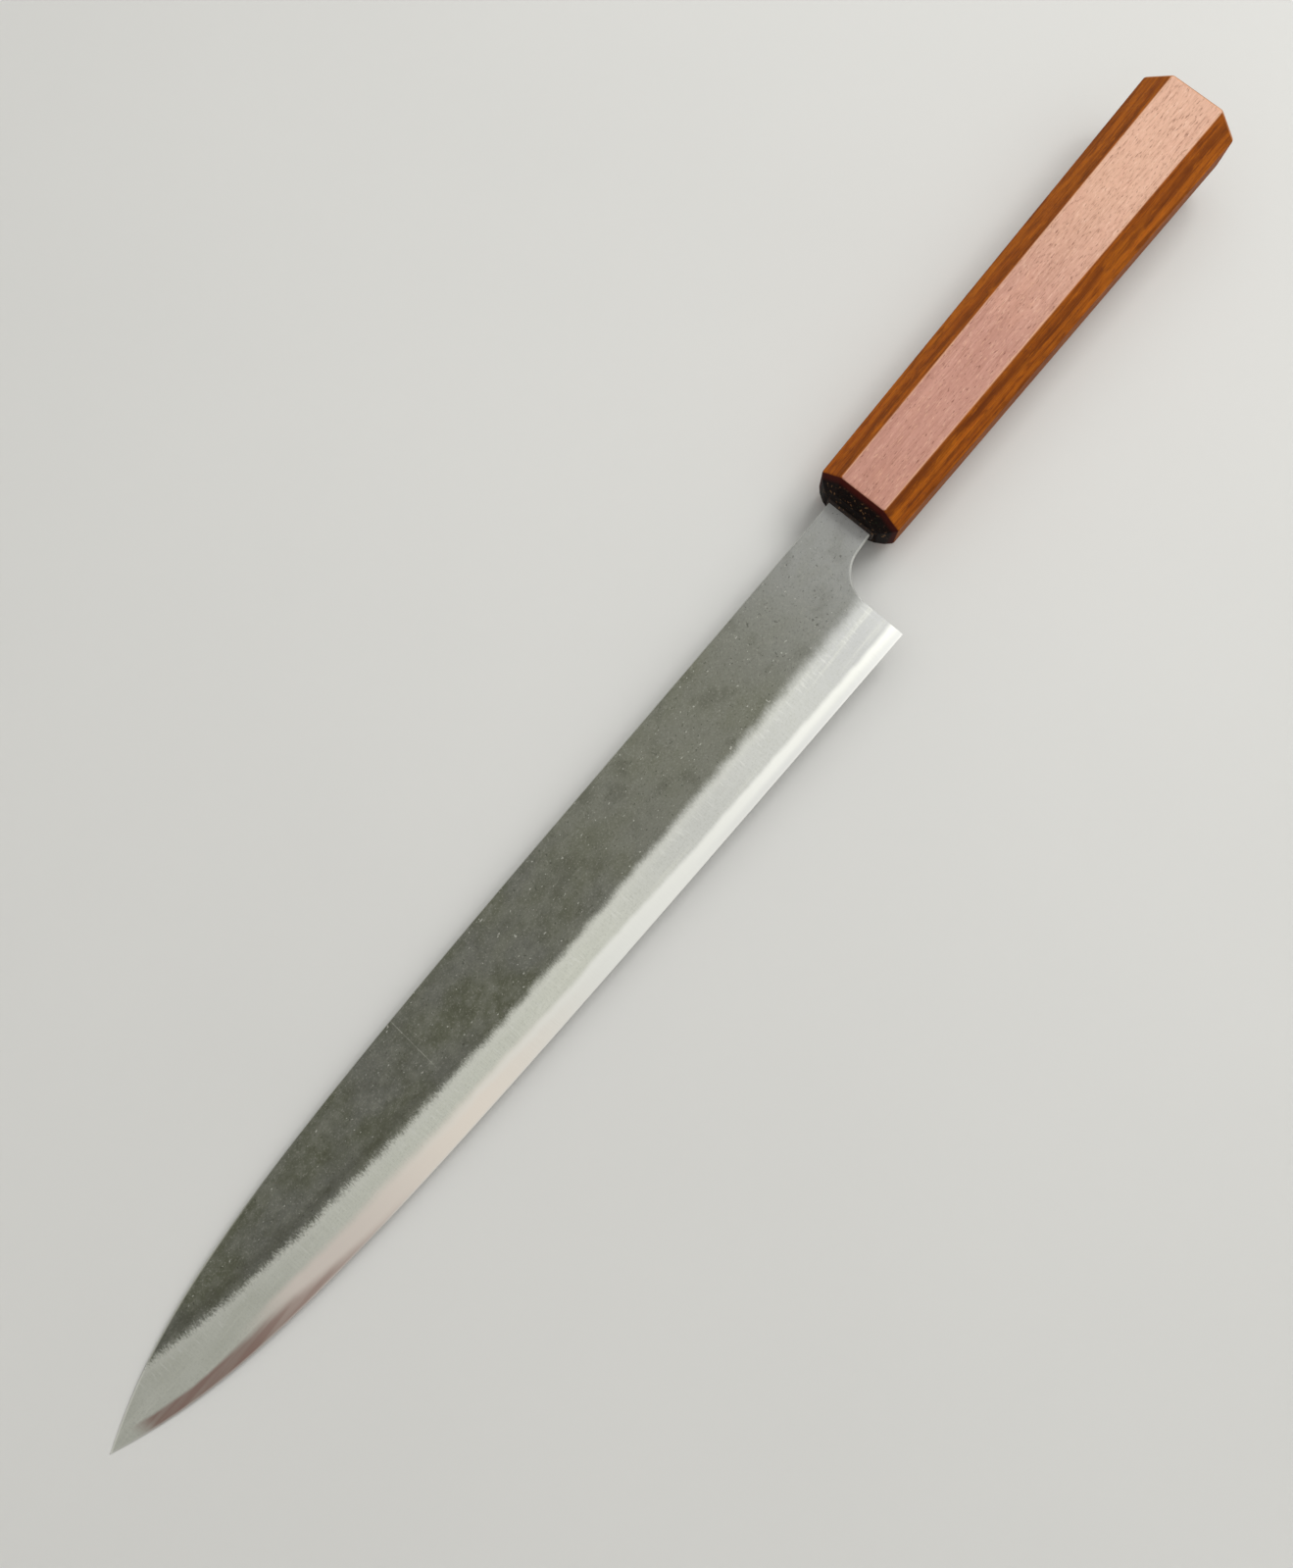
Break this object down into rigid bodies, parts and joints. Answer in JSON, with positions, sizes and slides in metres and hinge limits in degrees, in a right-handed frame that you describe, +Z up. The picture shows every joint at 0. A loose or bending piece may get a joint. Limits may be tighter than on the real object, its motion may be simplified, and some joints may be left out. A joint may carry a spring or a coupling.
{
  "type": "sujihiki knife",
  "caption": "Long slim slicing knife: laminated double-bevel blade with dark forge scale above a ground bevel, hidden tang bedded in an octagonal wooden handle.",
  "frame": {"origin": "under the middle of the knife's box, on the level of the handle's lowest edge", "axes": "+X from the point to the butt along the handle's centre line, +Y from the edge to the back, +Z up out of the blade's left face"},
  "size_m": [0.4136, 0.0414, 0.0225],
  "materials": {
    "core_steel": "fine stone-ground, bright along the edge",
    "cladding_iron": "dark forge scale above, hazy ground bevel below",
    "handle_wood": "oiled, satin, open pores",
    "tang_resin": "cast resin, hidden",
    "mouth_filler": "dark rubbed filler"
  },
  "bodies": {
    "root": {"core_steel": "core_steel", "left_cladding": "cladding_iron", "right_cladding": "cladding_iron", "handle_body": "handle_wood", "tang_bedding": "tang_resin", "mouth_seal": "mouth_filler"}
  },
  "joints": []
}
